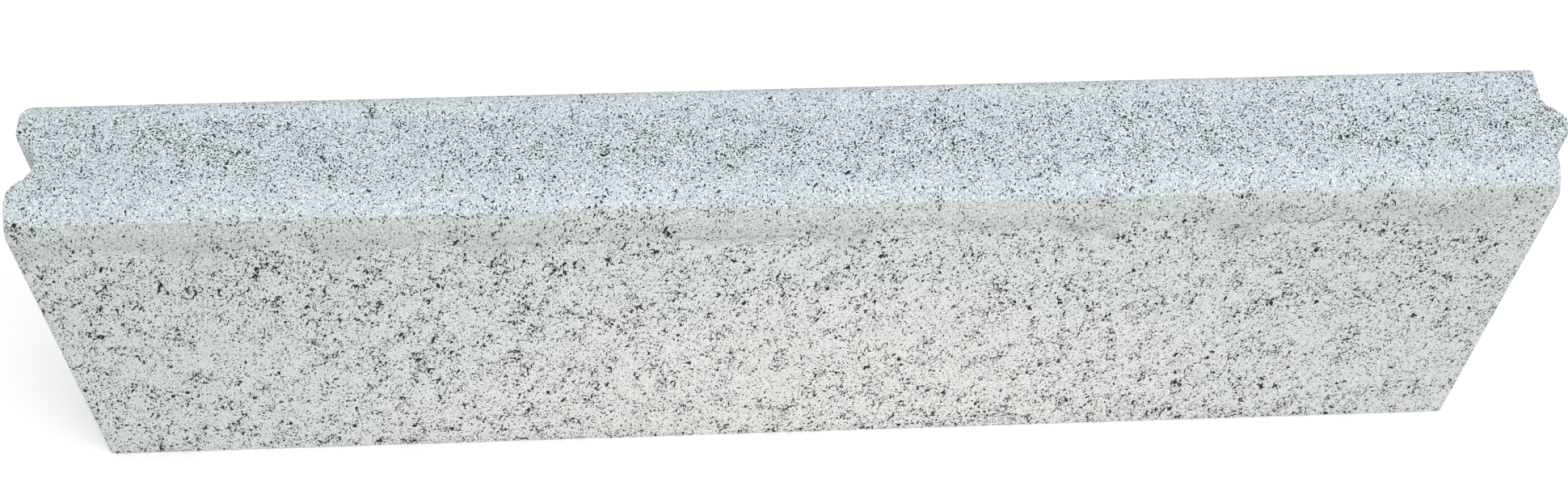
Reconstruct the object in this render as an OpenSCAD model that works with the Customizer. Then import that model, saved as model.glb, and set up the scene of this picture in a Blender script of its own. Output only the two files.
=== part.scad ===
// Kerb block of machine-pressed concrete, stood on its bed as a stop for car wheels.
// A fine face layer is pressed onto a coarse core while both are wet, so the two bond
// for life. Each block slides its tongue into the groove of the next one along.
//
// Millimetres. +X runs along the block to the tongue, the front faces -Y, +Z is up,
// and the origin is the middle of the bed.

/* [Block] */
// Length from end face to end face, without the tongue
block_l = 1000; // [400:10:1200]
// Width of the bed, front to back
block_w = 100; // [80:5:160]
// Height from the bed to the top
block_h = 300; // [160:10:400]

/* [Edges] */
// Radius of the round front top edge
front_r = 25; // [14:1:32]
// How far behind the front face the round edge stops
nose_set = 6; // [1:0.5:8]
// Height of the band that leans back below the round edge
nose_h = 20; // [8:1:30]
// Radius of the round back top edge
back_r = 10; // [3:1:20]
// Radius of three of the upright corners
corner_r = 4; // [2:0.5:8]
// Radius of the fourth upright corner, behind the groove
horn_r = 16; // [4:1:20]

/* [End joint] */
// Depth of the groove in the -X end
groove_d = 15; // [8:1:20]
// Width of the groove where it meets the end face
groove_w = 54; // [40:1:60]
// Gap round the tongue when it stands in the next block's groove
tongue_gap = 1.5; // [0.5:0.5:3]

/* [Face layer] */
// Thickness of the face layer in the middle of the block
face_mid = 20; // [12:1:25]
// How much deeper the face layer reaches at the front and back faces
face_drop = 14; // [8:1:25]
// Number of lengthwise keys that tie the face layer to the core
key_count = 5; // [1:2:7]
// Radius of each key
key_r = 3; // [1:0.5:4]
// Distance between keys
key_pitch = 14; // [9:1:20]

/* [Hidden] */
$fn = 96;

// Cutting shapes run this far past what they cut
over = 5;
// Long enough to pass through the block and its tongue
cut_l = block_l + 4 * groove_d;

front_y = -block_w / 2;
back_y = block_w / 2;

// The round front edge is an arc about this point, and stops at nose_set
front_cy = front_y + front_r;
front_cz = block_h - front_r;
nose_z = front_cz + sqrt(pow(front_r, 2) - pow(front_r - nose_set, 2));

// The groove's side is two equal arcs that meet halfway up it
groove_r = (pow(groove_w / 2, 2) + pow(groove_d, 2)) / (4 * groove_d);

// The core's top is an arc, highest under the middle of the face layer
crown_r = (pow(block_w / 2, 2) + pow(face_drop, 2)) / (2 * face_drop);
crown_cz = block_h - face_mid - crown_r;

// Outline of a rounded ridge that stands on x = 0 and points along +X. A gap draws it
// that much smaller all round.
module ridge(gap = 0) {
    half_w = groove_w / 2;
    slip = gap / (2 * groove_r);
    meet_x = groove_d / 2 - slip * (2 * groove_r - groove_d);
    meet_y = half_w * (0.5 - slip);
    translate([groove_d - groove_r, 0]) circle(groove_r - gap);
    difference() {
        polygon([
            [-over, -half_w], [0, -half_w], [meet_x, -meet_y],
            [meet_x, meet_y], [0, half_w], [-over, half_w]
        ]);
        for (side = [-1, 1])
            translate([groove_r, side * half_w]) circle(groove_r + gap);
    }
}

// What a round corner takes off the square corner at the origin, which fills -X -Y
module corner_waste(r) {
    difference() {
        translate([-r, -r]) square(r + over);
        translate([-r, -r]) circle(r);
    }
}

// The block seen from above, with its tongue and its groove
module plan() {
    difference() {
        union() {
            square([block_l, block_w], center = true);
            translate([block_l / 2, 0]) ridge(tongue_gap);
        }
        translate([-block_l / 2, 0]) ridge();
        translate([block_l / 2, back_y]) corner_waste(corner_r);
        translate([block_l / 2, front_y]) mirror([0, 1]) corner_waste(corner_r);
        translate([-block_l / 2, front_y]) mirror([1, 0]) mirror([0, 1]) corner_waste(corner_r);
        translate([-block_l / 2, back_y]) mirror([1, 0]) corner_waste(horn_r);
    }
}

// The block seen along X, with y across the page and z up it
module profile() {
    difference() {
        translate([front_y, 0]) square([block_w, block_h]);
        // Front top edge
        difference() {
            polygon([
                [front_y - over, nose_z - nose_h * (1 + over / nose_set)],
                [front_y + nose_set, nose_z],
                [front_cy, nose_z],
                [front_cy, block_h + over],
                [front_y - over, block_h + over]
            ]);
            translate([front_cy, front_cz]) circle(front_r);
        }
        // Back top edge
        difference() {
            translate([back_y - back_r, block_h - back_r]) square(back_r + over);
            translate([back_y - back_r, block_h - back_r]) circle(back_r);
        }
    }
}

// Everything above the seam between core and face layer, seen along X
module above_seam() {
    difference() {
        translate([front_y - over, block_h - face_mid - face_drop])
            square([block_w + 2 * over, face_mid + face_drop + over]);
        translate([0, crown_cz]) circle(crown_r, $fn = 360);
    }
    for (i = [0 : key_count - 1]) {
        turn = (i - (key_count - 1) / 2) * key_pitch / crown_r * 180 / PI;
        translate([crown_r * sin(turn), crown_cz + crown_r * cos(turn)]) circle(key_r, $fn = 48);
    }
}

// Draws what is seen along X through a length, centred on the origin
module along_x(length) {
    rotate([90, 0, 90])
        linear_extrude(length, center = true)
            children();
}

module block() {
    intersection() {
        linear_extrude(block_h) plan();
        along_x(cut_l) profile();
    }
}

// Coarse structural concrete, from the bed up to the seam
module core() {
    color([0.76, 0.78, 0.76])
        difference() {
            block();
            along_x(cut_l) above_seam();
        }
}

// Fine pale wearing concrete, from the seam to the top
module face_layer() {
    color([0.77, 0.82, 0.84])
        intersection() {
            block();
            along_x(cut_l) above_seam();
        }
}

core();
face_layer();
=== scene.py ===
"""A kerb block of pressed concrete, stood on a pale floor as a stop for car wheels.

The block is drawn as one closed body, its skin is torn and grained as it is when it leaves the
mould, and it is then parted at the seam into the core and the face layer.

Lengths are in metres. +X runs along the block to its tongue, the front faces -Y and +Z is up.
"""
import math

import bpy
from mathutils import Matrix, Vector
from mathutils.bvhtree import BVHTree


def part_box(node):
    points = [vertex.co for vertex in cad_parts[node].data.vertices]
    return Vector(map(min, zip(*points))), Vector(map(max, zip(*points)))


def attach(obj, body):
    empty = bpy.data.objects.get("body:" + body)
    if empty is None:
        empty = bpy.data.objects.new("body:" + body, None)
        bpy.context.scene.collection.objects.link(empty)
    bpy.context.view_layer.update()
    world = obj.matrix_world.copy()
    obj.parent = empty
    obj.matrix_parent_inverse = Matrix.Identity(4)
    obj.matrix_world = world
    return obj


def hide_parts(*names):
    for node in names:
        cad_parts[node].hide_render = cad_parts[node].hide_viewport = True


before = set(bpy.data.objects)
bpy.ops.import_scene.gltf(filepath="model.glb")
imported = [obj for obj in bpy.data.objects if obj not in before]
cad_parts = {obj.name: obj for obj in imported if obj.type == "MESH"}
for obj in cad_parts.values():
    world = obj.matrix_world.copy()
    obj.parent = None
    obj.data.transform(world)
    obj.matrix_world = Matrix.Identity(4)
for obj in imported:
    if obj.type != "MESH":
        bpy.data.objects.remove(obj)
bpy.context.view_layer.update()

MM = 0.001

# The top of the block, read from the frame
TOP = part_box("face_layer")[1][2]

# The crease where the round front edge meets the band that leans back
CREASE_DROP = 8.75 * MM
CREASE = TOP - CREASE_DROP

# The skin is drawn with a mesh this fine, and the finished block keeps this share of it
SKIN_STEP = 1.2 * MM
KEPT_SHARE = 0.17
RELIEF = 1
# The skin is pushed this far inward before the mesh is thinned, which brings some of it back out
SKIN_INSET = 0.2 * MM

REST_PLACE = "rest_place"

# How far the skin's marks lean from upright
LEAN = math.radians(20)

# How fine each pattern in the skin is, in cells per millimetre
PIT_SCALE = 0.9
TEAR_SCALE = 0.36
CRACK_SCALE = 0.1
PATCH_SCALE = 0.09
WANDER_SCALE = 0.027
DRIFT_SCALE = 0.01
GRAIN_SCALE = 1.3
DUST_SCALE = 0.8
# Usual distance between places where a void may be, and the radius of the largest, in millimetres
VOID_SPACING = 17
VOID_RADIUS = 2.2

# How deep each mark is at its deepest, in millimetres
TEAR_DEPTH = 1.6
CRACK_DEPTH = 1.0
VOID_DEPTH = 1.6
UNDERCUT_DEPTH = 0.5
PIT_DEPTH = 1.3
# The share of a pit's depth that is pressed into the mesh. The finish draws the whole of it.
PIT_SHARE = 0.4

# The side turns from closed to torn as its height plus a noise of 0 to WANDER falls from the first
# of these to the second, in millimetres. The noise is about half of WANDER in most places.
CLOSED_SUM = 329
TORN_SUM = 291
WANDER = 90
# The foot of the side is looser up to this height in millimetres
FOOT_HEIGHT = 22

# Colours of the pressed top, whose blue tint is partly painted sky light, of the sides, and of the
# pale bloom on them, which is partly painted bounce light from the floor
TOP_HEX = "BDC7CB"
SIDE_HEX = "C3CAC8"
BLOOM_AND_BOUNCE_HEX = "DBDCD9"
# Where the bloom and its painted bounce light are thickest, in millimetres, apart from what height
# and drift do to it
BLOOM_AND_BOUNCE_MIDDLE = (30, -50, 40)

# The kinds of node used most
MATH = "ShaderNodeMath"
VECTOR = "ShaderNodeVectorMath"
RAMP = "ShaderNodeMapRange"
NOISE = "ShaderNodeTexNoise"
CELLS = "ShaderNodeTexVoronoi"
BLEND = "ShaderNodeMix"


def colour(hex_code):
    """The linear RGBA colour of an sRGB hex code."""
    parts = [int(hex_code[i:i + 2], 16) / 255 for i in (0, 2, 4)]
    return [p / 12.92 if p <= 0.04045 else ((p + 0.055) / 1.055) ** 2.4 for p in parts] + [1]


def add(tree, kind, inputs=(), **settings):
    """Adds a node. Its inputs, in order or by name, are values or the nodes that feed them."""
    made = tree.nodes.new(kind)
    for name, value in settings.items():
        setattr(made, name, value)
    if not isinstance(inputs, dict):
        inputs = dict(enumerate(inputs))
    for key, value in inputs.items():
        if isinstance(value, bpy.types.Node):
            value = value.outputs[0]
        if isinstance(value, bpy.types.NodeSocket):
            tree.links.new(value, made.inputs[key])
        else:
            made.inputs[key].default_value = value
    return made


# ---------------------------------------------------------------- the skin's pattern

def weighed(tree, first, *pairs):
    """The number first, plus each other number times its weight."""
    result = first
    for value, weight in pairs:
        result = add(tree, MATH, (value, weight, result), operation="MULTIPLY_ADD")
    return result


def moved(tree, at, scale, reach):
    """The place at, pushed about by noise, so that outlines bend and no side is straight."""
    push = add(tree, NOISE, {"Vector": at, "Scale": scale, "Detail": 1})
    centred = add(tree, VECTOR, (push.outputs["Color"], (0.5, 0.5, 0.5)), operation="SUBTRACT")
    scaled = add(tree, VECTOR, {0: centred, "Scale": reach}, operation="SCALE")
    return add(tree, VECTOR, (at, scaled), operation="ADD")


def skin(tree, place):
    """How the concrete's skin is broken at a place, as nodes. "coarse" and "fine" are the depths
    in millimetres of its tears, cracks and voids, and of its small pits. Both the mesh and the
    finish use them, so that the painted shade of a tear lies in a real one."""
    at = add(tree, VECTOR, {0: place, "Scale": 1 / MM}, operation="SCALE")
    xyz = add(tree, "ShaderNodeSeparateXYZ", (at,))
    height = xyz.outputs[2]
    bent = moved(tree, at, 0.5, 0.8)
    swayed = moved(tree, bent, 0.12, 3.6)
    # The marks lean and are drawn out along their length
    leaned = add(tree, "ShaderNodeVectorRotate", {"Vector": bent, "Angle": -LEAN},
                 rotation_type="Y_AXIS")
    turned = add(tree, "ShaderNodeVectorRotate", {"Vector": leaned, "Angle": -LEAN},
                 rotation_type="Z_AXIS")
    drawn = add(tree, VECTOR, (turned, (1.0, 0.85, 0.55)), operation="MULTIPLY")

    # All that is above the crease has the pressed skin
    pressed = add(tree, RAMP, (height, CREASE / MM - 1, CREASE / MM + 2),
                  interpolation_type="SMOOTHSTEP")
    # Below it is a closer band, and the torn sides start under that, at an uneven height
    wander = add(tree, NOISE, {"Vector": at, "Scale": WANDER_SCALE, "Detail": 2})
    torn = add(tree, RAMP,
               (weighed(tree, height, (wander, WANDER)), CLOSED_SUM, TORN_SUM),
               interpolation_type="SMOOTHSTEP")
    # The top is loosest near its middle
    off_middle = add(tree, MATH, (xyz.outputs[1], 5), operation="SUBTRACT")
    middle = add(tree, RAMP, (add(tree, MATH, (off_middle,), operation="ABSOLUTE"), 12, 44, 1, 0),
                 interpolation_type="SMOOTHSTEP")
    on_top = add(tree, MATH, (middle, pressed), operation="MULTIPLY")
    foot = add(tree, RAMP, (height, FOOT_HEIGHT, 0), interpolation_type="SMOOTHSTEP")
    weak = weighed(tree, torn, (on_top, 0.15), (foot, 0.6))
    drift = add(tree, NOISE, {"Vector": at, "Scale": DRIFT_SCALE, "Detail": 2})
    patch = add(tree, NOISE, {"Vector": drawn, "Scale": PATCH_SCALE, "Detail": 2})

    # Pits about 1 mm wide and 2 mm long between the grains, everywhere
    mark = add(tree, NOISE, {"Vector": drawn, "Scale": PIT_SCALE, "Detail": 1})
    loose = weighed(tree, mark, (drift, 0.07), (patch, 0.11), (weak, 0.025), (on_top, 0.05))
    pit = add(tree, RAMP, (loose, 0.725, 0.765), interpolation_type="SMOOTHSTEP")

    # Tears are alike, but longer and deeper, and are found where the mix is weak
    rip = add(tree, NOISE, {"Vector": drawn, "Scale": TEAR_SCALE, "Detail": 3})
    rip = weighed(tree, rip, (drift, 0.15), (patch, 0.3), (weak, 0.06))
    tear = add(tree, RAMP, (rip, 0.945, 0.965), interpolation_type="SMOOTHSTEP")

    # A shallow groove runs just below the crease, and is missing in places
    under = add(tree, MATH, (weighed(tree, 1.2 - CREASE / MM, (height, 1)),),
                operation="ABSOLUTE")
    groove = add(tree, RAMP, (under, 0.4, 1.6, 1, 0), interpolation_type="SMOOTHSTEP")
    kept = add(tree, RAMP, (weighed(tree, mark, (patch, 1)), 1.12, 1.3),
               interpolation_type="SMOOTHSTEP")
    groove = add(tree, MATH, (groove, kept), operation="MULTIPLY")

    # Thin cracks curl round the lumps of paste
    curl = add(tree, NOISE, {"Vector": swayed, "Scale": CRACK_SCALE, "Detail": 1})
    off_line = add(tree, MATH, (weighed(tree, -0.5, (curl, 1)),), operation="ABSOLUTE")
    line = add(tree, RAMP, (off_line, 0.012, 0.022, 1, 0), interpolation_type="SMOOTHSTEP")
    parted = add(tree, RAMP, (weighed(tree, mark, (patch, 0.8), (weak, 0.1)), 1.06, 1.10),
                 interpolation_type="SMOOTHSTEP")
    crack = add(tree, MATH, (line, parted), operation="MULTIPLY")

    # Few and deep voids, where the mix did not fill the mould
    voids = add(tree, CELLS, {"Vector": swayed, "Scale": 1 / VOID_SPACING}, feature="F1")
    chance = add(tree, "ShaderNodeSeparateXYZ", (voids.outputs["Color"],))
    size = add(tree, RAMP, (chance, 0.86, 1, 0, VOID_RADIUS), interpolation_type="SMOOTHSTEP")
    void = add(tree, RAMP, (weighed(tree, size, (voids, -VOID_SPACING)), 0, 1.0),
               interpolation_type="SMOOTHSTEP")

    coarse = weighed(tree, 0, (tear, TEAR_DEPTH), (crack, CRACK_DEPTH), (void, VOID_DEPTH),
                     (groove, UNDERCUT_DEPTH))
    fine = weighed(tree, 0, (pit, PIT_DEPTH))
    return {"coarse": coarse, "fine": fine, "at": at, "bent": bent, "height": height,
            "pressed": pressed, "torn": torn, "drift": drift}


# ---------------------------------------------------------------- finishes

def concrete(name):
    """Dry-pressed concrete: a matt cement skin over sand, with gaps darkened by painted shade, and
    pale grains.
    """
    made = bpy.data.materials.new(name)
    made.use_nodes = True
    tree = made.node_tree
    tree.nodes.clear()
    place = add(tree, "ShaderNodeAttribute", attribute_name=REST_PLACE)
    parts = skin(tree, place.outputs["Vector"])

    # Pale cement bloom lies on the sides, most of all in the middle and near the foot; this
    # lighter, warmer tone is partly painted bounce light from the floor
    off = add(tree, VECTOR, (parts["at"], BLOOM_AND_BOUNCE_MIDDLE), operation="DISTANCE")
    reach = weighed(tree, off.outputs["Value"], (parts["drift"], 260), (parts["height"], 1.0))
    bloom_and_bounce = add(tree, RAMP, (reach, 950, 200), interpolation_type="SMOOTHSTEP")
    side = add(tree, BLEND, {0: bloom_and_bounce, 6: colour(SIDE_HEX), 7: colour(BLOOM_AND_BOUNCE_HEX)},
               data_type="RGBA")
    # The top takes its own colour, with a blue tint that is partly painted sky light
    tone = add(tree, BLEND, {0: parts["pressed"], 6: side.outputs[2], 7: colour(TOP_HEX)},
               data_type="RGBA")

    # Each grain of sand has its own lightness
    grains = add(tree, CELLS, {"Vector": parts["bent"], "Scale": GRAIN_SCALE}, feature="F1")
    luck = add(tree, "ShaderNodeSeparateXYZ", (grains.outputs["Color"],))
    bare = weighed(tree, 0.5, (parts["pressed"], 0.5))
    speckle = add(tree, MATH, (weighed(tree, -0.5, (luck, 1)), bare), operation="MULTIPLY")
    dust = add(tree, NOISE, {"Vector": parts["at"], "Scale": DUST_SCALE, "Detail": 2})
    # Painted shade: the closed band just below the crease is darker
    band_shade = add(tree, RAMP, (weighed(tree, parts["pressed"], (parts["torn"], 1)), 0.2, 0.9, 1, 0),
               interpolation_type="SMOOTHSTEP")
    # A few grains in the top are almost white
    white = add(tree, RAMP, (luck, 0.955, 0.97), interpolation_type="SMOOTHSTEP")
    white = add(tree, MATH, (white, parts["pressed"]), operation="MULTIPLY")
    # Painted shade: the back edge and the back face, which turn away from the light, are a little
    # darker
    across = add(tree, "ShaderNodeSeparateXYZ", (parts["at"],)).outputs[1]
    back_shade = add(tree, RAMP, (across, 34, 47), interpolation_type="SMOOTHSTEP")
    light = weighed(tree, 0.32, (back_shade, -0.07), (white, 0.16), (band_shade, -0.155), (speckle, 0.55),
                    (dust, 1.2), (parts["drift"], 0.14))
    # Painted shade darkens the tears, cracks, voids and pits, the more the deeper they are
    deep = add(tree, MATH, (parts["coarse"], parts["fine"]), operation="ADD")
    shade = add(tree, RAMP, (deep, 0, 1.2, 1, 0.05), interpolation_type="SMOOTHSTEP")
    shade = add(tree, MATH, (shade, light), operation="MULTIPLY")
    skin_colour = add(tree, BLEND, {0: 1.0, 6: tone.outputs[2], 7: shade}, data_type="RGBA",
                      blend_type="MULTIPLY")
    dents = add(tree, "ShaderNodeBump",
                {"Height": weighed(tree, dust, (deep, -1)), "Distance": 0.3 * MM})
    paint = add(tree, "ShaderNodeBsdfPrincipled",
                {"Base Color": skin_colour.outputs[2], "Roughness": 0.9,
                 "Specular IOR Level": 0.25, "Normal": dents})
    add(tree, "ShaderNodeOutputMaterial", (paint,))
    return made


# ---------------------------------------------------------------- the block

def only(thing):
    """Makes thing the only selected object, and the active one."""
    bpy.ops.object.select_all(action="DESELECT")
    thing.select_set(True)
    bpy.context.view_layer.objects.active = thing


def copy_of(node_name, name):
    """A copy of a CAD node with its loose triangles merged."""
    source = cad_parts[node_name]
    made = bpy.data.objects.new(name, source.data.copy())
    bpy.context.scene.collection.objects.link(made)
    made.data.materials.clear()
    only(made)
    bpy.ops.object.mode_set(mode="EDIT")
    bpy.ops.mesh.select_all(action="SELECT")
    bpy.ops.mesh.remove_doubles(threshold=0.001 * MM)
    bpy.ops.object.mode_set(mode="OBJECT")
    return made


def finish(thing, kind, **settings):
    """Adds a modifier to thing and applies it."""
    only(thing)
    made = thing.modifiers.new(kind.lower(), kind)
    for name, value in settings.items():
        setattr(made, name, value)
    bpy.ops.object.modifier_apply(modifier=made.name)


def mend_places(thing, cut):
    """Gives the corners that lie on the cut their own position as their undisturbed one. The
    tree cut finds the nearest place on the shape that cuts."""
    places = thing.data.attributes[REST_PLACE].data
    for vertex, place in zip(thing.data.vertices, places):
        if cut.find_nearest(vertex.co, SKIN_INSET / 4)[0] is not None:
            place.vector = vertex.co


def relief():
    """The geometry nodes that press the skin's pattern into a mesh."""
    tree = bpy.data.node_groups.new("relief", "GeometryNodeTree")
    tree.interface.new_socket("Geometry", in_out="INPUT", socket_type="NodeSocketGeometry")
    tree.interface.new_socket("Geometry", in_out="OUTPUT", socket_type="NodeSocketGeometry")
    start = add(tree, "NodeGroupInput")
    place = add(tree, "GeometryNodeInputPosition")
    parts = skin(tree, place.outputs[0])
    sunk = weighed(tree, -SKIN_INSET, (parts["coarse"], -MM * RELIEF),
                   (parts["fine"], -PIT_SHARE * MM * RELIEF))
    normal = add(tree, "GeometryNodeInputNormal")
    push = add(tree, VECTOR, {0: normal, "Scale": sunk}, operation="SCALE")
    kept = add(tree, "GeometryNodeStoreNamedAttribute",
               {"Geometry": start, "Name": REST_PLACE, "Value": place},
               data_type="FLOAT_VECTOR", domain="POINT")
    pushed = add(tree, "GeometryNodeSetPosition", {"Geometry": kept, "Offset": push})
    add(tree, "NodeGroupOutput", (pushed,))
    return tree


cutter = copy_of("face_layer", "seam")
block = copy_of("core", "block")
finish(block, "BOOLEAN", operation="UNION", object=cutter, solver="MANIFOLD")
finish(block, "REMESH", mode="VOXEL", voxel_size=SKIN_STEP)
finish(block, "NODES", node_group=relief())
finish(block, "DECIMATE", ratio=KEPT_SHARE)

only(block)
bpy.ops.object.duplicate()
face_layer = bpy.context.object
face_layer.name = "face_layer_skin"
core = block
core.name = "core_skin"
finish(face_layer, "BOOLEAN", operation="INTERSECT", object=cutter, solver="MANIFOLD")
finish(core, "BOOLEAN", operation="DIFFERENCE", object=cutter, solver="MANIFOLD")
cut_tree = BVHTree.FromObject(cutter, bpy.context.evaluated_depsgraph_get())
bpy.data.objects.remove(cutter)

# Both mixes are drawn by one function, in which the height on the block decides how closed and how
# bluish the skin is; the blue of the top is partly painted sky light. So the look changes at the
# crease and below it, and not at the seam.
FACE_MIX = concrete("fine pressed concrete")
CORE_MIX = concrete("coarse pressed concrete")
for piece, node_name, slot_name, mix in ((core, "core", "core_concrete", CORE_MIX),
                                         (face_layer, "face_layer", "face_concrete", FACE_MIX)):
    mend_places(piece, cut_tree)
    piece.data.materials.clear()
    piece.data.materials.append(mix)
    only(piece)
    bpy.ops.object.shade_smooth_by_angle(angle=math.radians(40))
    # The thin triangles along the cut have next to no say in how the skin is shaded
    finish(piece, "WEIGHTED_NORMAL", mode="FACE_AREA", keep_sharp=True)
    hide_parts(node_name)
    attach(piece, "root")

# ---------------------------------------------------------------- the stage

# A pale matt floor under a white sky
bpy.ops.mesh.primitive_plane_add(size=12)
floor = bpy.context.object
floor.name = "floor"
floor_paint = bpy.data.materials.new("matt floor paint")
floor_paint.use_nodes = True
floor_shader = floor_paint.node_tree.nodes["Principled BSDF"]
floor_shader.inputs["Base Color"].default_value = colour("FCFCFC")
floor_shader.inputs["Roughness"].default_value = 0.9
floor.data.materials.append(floor_paint)

world = bpy.data.worlds.new("sky")
bpy.context.scene.world = world
world.use_nodes = True
world.node_tree.nodes["Background"].inputs[0].default_value = colour("FFFFFF")
world.node_tree.nodes["Background"].inputs[1].default_value = 0.86


def lamp(name, place, target, size, power, hex_code="FFFFFF"):
    """A square soft light at place that shines on target."""
    data = bpy.data.lights.new(name, "AREA")
    data.shape = "SQUARE"
    data.size = size
    data.energy = power
    data.color = colour(hex_code)[:3]
    made = bpy.data.objects.new(name, data)
    bpy.context.scene.collection.objects.link(made)
    made.location = place
    made.rotation_euler = (Vector(target) - Vector(place)).to_track_quat("-Z", "Y").to_euler()


# One broad lamp stands above the block, in front of it and to the right of its middle
lamp("over", (0.4, -0.8, 2.4), (0, 0, 0.15), 2.0, 32)

# The camera looks down on the block from above and in front of it
CAMERA_PLACE = (-70.6 * MM, -830.3 * MM, 1445.1 * MM)
PITCH = math.radians(56.467)
YAW = math.radians(4.691)
ROLL = math.radians(2.301)
LENS = 50.13  # on a sensor 36 mm wide

camera_data = bpy.data.cameras.new("camera")
camera_data.lens = LENS
camera_data.sensor_width = 36
camera = bpy.data.objects.new("camera", camera_data)
bpy.context.scene.collection.objects.link(camera)
camera.matrix_world = (Matrix.Translation(CAMERA_PLACE)
                       @ Matrix.Rotation(-YAW, 4, "Z")
                       @ Matrix.Rotation(math.pi / 2 - PITCH, 4, "X")
                       @ Matrix.Rotation(ROLL, 4, "Z"))
bpy.context.scene.camera = camera
bpy.context.scene.view_settings.view_transform = "Standard"
